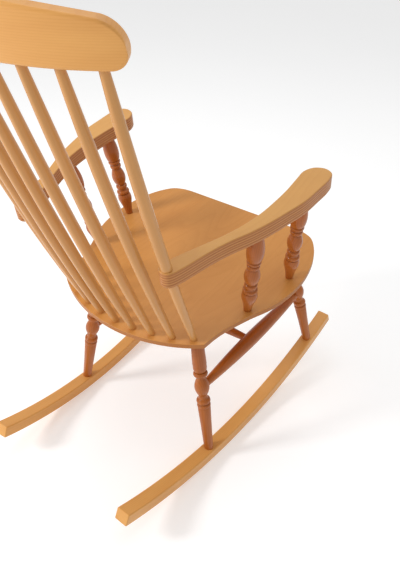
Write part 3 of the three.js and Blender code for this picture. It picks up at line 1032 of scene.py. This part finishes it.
def seat_outline():
    corner_x, corner_y = SEAT_CORNER
    front_x, front_y = SEAT_FRONT
    side = through([
        (corner_x, corner_y),
        (corner_x + 5, 222),
        (corner_x + 14, 190),
        (SEAT_WIDEST - 36, 143),
        (SEAT_WIDEST - 17, 102),
        (SEAT_WIDEST - 5, 62),
        (SEAT_WIDEST, 14),
        (SEAT_WIDEST - 3, -30),
        (SEAT_WIDEST - 13, -74),
        (SEAT_WIDEST - 30, -113),
        (SEAT_WIDEST - 55, -145),
        (front_x + 24, front_y + 3),
        (front_x, front_y),
    ], False, 8)
    half = math.asin(corner_x / SEAT_REAR_RADIUS)
    centre_y = SEAT_REAR_Y - SEAT_REAR_RADIUS
    steps = 48
    rear = []
    for i in range(1, steps):
        angle = half - 2 * half * i / steps
        x = SEAT_REAR_RADIUS * math.sin(angle)
        rear.append(Vector((x, centre_y + SEAT_REAR_RADIUS * math.cos(angle))))
    right = [Vector((-p.x, p.y)) for p in side]
    return side[::-1] + rear + right


def arm_outline(side):
    hole = spindle_point(SPINDLES - 1, ARM_TOP - ARM_THICK / 2)
    front = POST["front"]["x"]
    points = [
        (front - 24, 205),
        (front - 12, 166),
        (front - 4, 122),
        (front - 1, 74),
        (front - 1, 30),
        (front - 4, -12),
        (front - 5, -40),
        (front + 6, -61),
        (front + 27, -69),
        (front + 45, -60),
        (front + 50, -38),
        (front + 49, 0),
        (front + 46, 45),
        (front + 36, 90),
        (front + 26, 130),
        (front + 13, 170),
        (front - 4, 210),
        (front - 16, 246),
    ]
    for k in range(5):
        angle = math.radians(18 + 42 * k)
        points.append((hole.x + ARM_REAR_R * math.cos(angle), hole.y + ARM_REAR_R * math.sin(angle)))
    return [Vector((side * p.x, p.y)) for p in through(points, True, 8)]


# %% Plates with their sockets
def drawn_in(outline, inset):
    """The outline moved inwards all round; it runs so that the inside is on the left."""
    count = len(outline)
    moved = []
    for i, p in enumerate(outline):
        run = (outline[(i + 1) % count] - outline[i - 1]).normalized()
        moved.append(Vector((p.x - run.y * inset, p.y + run.x * inset)))
    return moved


def plate(name, outline, thick, edge, under, place, entering, material):
    """A sawn board, its lower rim cut back by under; place is its matrix, with its top at z = 0."""
    count = len(outline)
    area = sum(p.cross(outline[i - 1]) for i, p in enumerate(outline)) / -2
    levels = [(0, 0), (0, under - thick), (math.copysign(under, area), -thick)]
    points = [place @ Vector((p.x, p.y, z)) for inset, z in levels for p in drawn_in(outline, inset)]
    last = (len(levels) - 1) * count
    faces = [tuple(range(count)), tuple(range(last + count - 1, last - 1, -1))]
    for low in range(0, last, count):
        high = low + count
        for i in range(count):
            after = (i + 1) % count
            faces.append((low + after, low + i, high + i, high + after))
    piece = mesh_object(name, points, (), faces)
    rounding = piece.modifiers.new("edge", "BEVEL")
    rounding.width = edge
    rounding.segments = 5
    rounding.limit_method = "ANGLE"
    rounding.angle_limit = SHARP
    settle(piece)
    bore(piece, entering)
    inverse = (CHAIR @ place).inverted()
    store_wood(piece.data, [inverse @ v.co for v in piece.data.vertices])
    weigh_normals(piece)
    repaint(piece, material)
    return piece


def repaint(piece, material):
    """One material only: a cut piece has those of its tools too."""
    piece.data.materials.clear()
    piece.data.materials.append(material)


def bore(piece, entering):
    """Cuts the sockets that the named pieces stand in."""
    tools = bpy.data.collections.new("tools_" + piece.name)
    for name in entering:
        tools.objects.link(pieces[name])
    cut = piece.modifiers.new("sockets", "BOOLEAN")
    cut.operation = "DIFFERENCE"
    cut.operand_type = "COLLECTION"
    cut.collection = tools
    cut.solver = "EXACT"
    bake_modifiers(piece)
    bpy.data.collections.remove(tools)


spindle_names = [f"back_spindle_{i + 1}" for i in range(SPINDLES)]
standing = [name for name in pieces if name.startswith(("arm_post", "leg"))]
seat = plate(
    "seat", seat_outline(), SEAT_THICK, SEAT_EDGE, SEAT_UNDER, Matrix(), spindle_names + standing, SEAT_PLY,
)
finish_piece(seat, "seat")
for side_name, side in SIDES.items():
    name = "arm_" + side_name
    place = Matrix.Translation((0, 0, ARM_TOP)) @ Matrix.Rotation(math.atan(ARM_PITCH), 4, "X")
    outermost = spindle_names[-1 if side > 0 else 0]
    posts = [f"arm_post_{where}_{side_name}" for where in POST]
    entering = [outermost] + posts
    arm = plate(name, arm_outline(side), ARM_THICK, ARM_EDGE, ARM_UNDER, place, entering, ARM_PLY)
    finish_piece(arm, name)
print("seat:", len(seat.data.polygons), "faces")

# %% Sockets in the bent pieces
bent = {"crest_rail": spindle_names}
for side_name in SIDES:
    bent["rocker_" + side_name] = [f"leg_{where}_{side_name}" for where in LEG]
for name, entering in bent.items():
    bore(pieces[name], entering)
    weigh_normals(pieces[name])
    repaint(pieces[name], BENT)
print("bored:", ", ".join(bent))

# %% [markdown]
# ## Floor and light
# A pale floor that runs out of sight, a bright even room, a large soft lamp overhead and a smaller
# one behind the chair, on the sitter's left. The room and the floor fill the shadows and draw a thin
# bright line along each round edge; the small lamp gives the beads and barrels their highlights.

# %% Floor
FLOOR_SIZE = 14
floor = mesh_object("floor", [
    (x * FLOOR_SIZE, y * FLOOR_SIZE, -0.0005) for x, y in ((-1, -1), (1, -1), (1, 1), (-1, 1))
], (), [(0, 1, 2, 3)])
floor_material, graph = new_material("floor")
spot = graph.add("ShaderNodeTexCoord", None, None, "Object")
shade = noise(graph, spot, (1.5, 1.5, 1.5)) * 0.02 + 0.74
floor_colour = graph.add("ShaderNodeCombineColor", None, {"Red": shade, "Green": shade, "Blue": shade})
floor_shader = graph.add(
    "ShaderNodeBsdfPrincipled",
    None,
    {"Base Color": floor_colour, "Roughness": 0.9, "Emission Color": (1, 1, 1, 1), "Emission Strength": 0.35},
)
graph.add("ShaderNodeOutputMaterial", None, {"Surface": floor_shader})
floor.data.materials.append(floor_material)

# %% Light
def soft_lamp(name, place, aim, size, power):
    data = bpy.data.lights.new(name, "AREA")
    data.size = size
    data.energy = power
    lamp = bpy.data.objects.new(name, data)
    lamp.location = place
    lamp.rotation_euler = (Vector(place) - Vector(aim)).to_track_quat("Z", "Y").to_euler()
    bpy.context.scene.collection.objects.link(lamp)
    return lamp


CHAIR_MIDDLE = (0, 0, 0.4)
soft_lamp("key", (1.4, 1.9, 1.6), CHAIR_MIDDLE, 0.5, 38)
soft_lamp("top", (0.2, -0.6, 3.0), CHAIR_MIDDLE, 2.4, 26)

world = bpy.data.worlds.new("room")
world.use_nodes = True
sky = Graph(world.node_tree)
light = sky.add("ShaderNodeBackground", None, {"Color": (1.0, 1.0, 1.0, 1.0), "Strength": 0.6})
sky.add("ShaderNodeOutputWorld", None, {"Surface": light})
bpy.context.scene.world = world
bpy.context.scene.view_settings.view_transform = "Standard"

# %% Bring the scene up to date
bpy.context.view_layer.update()
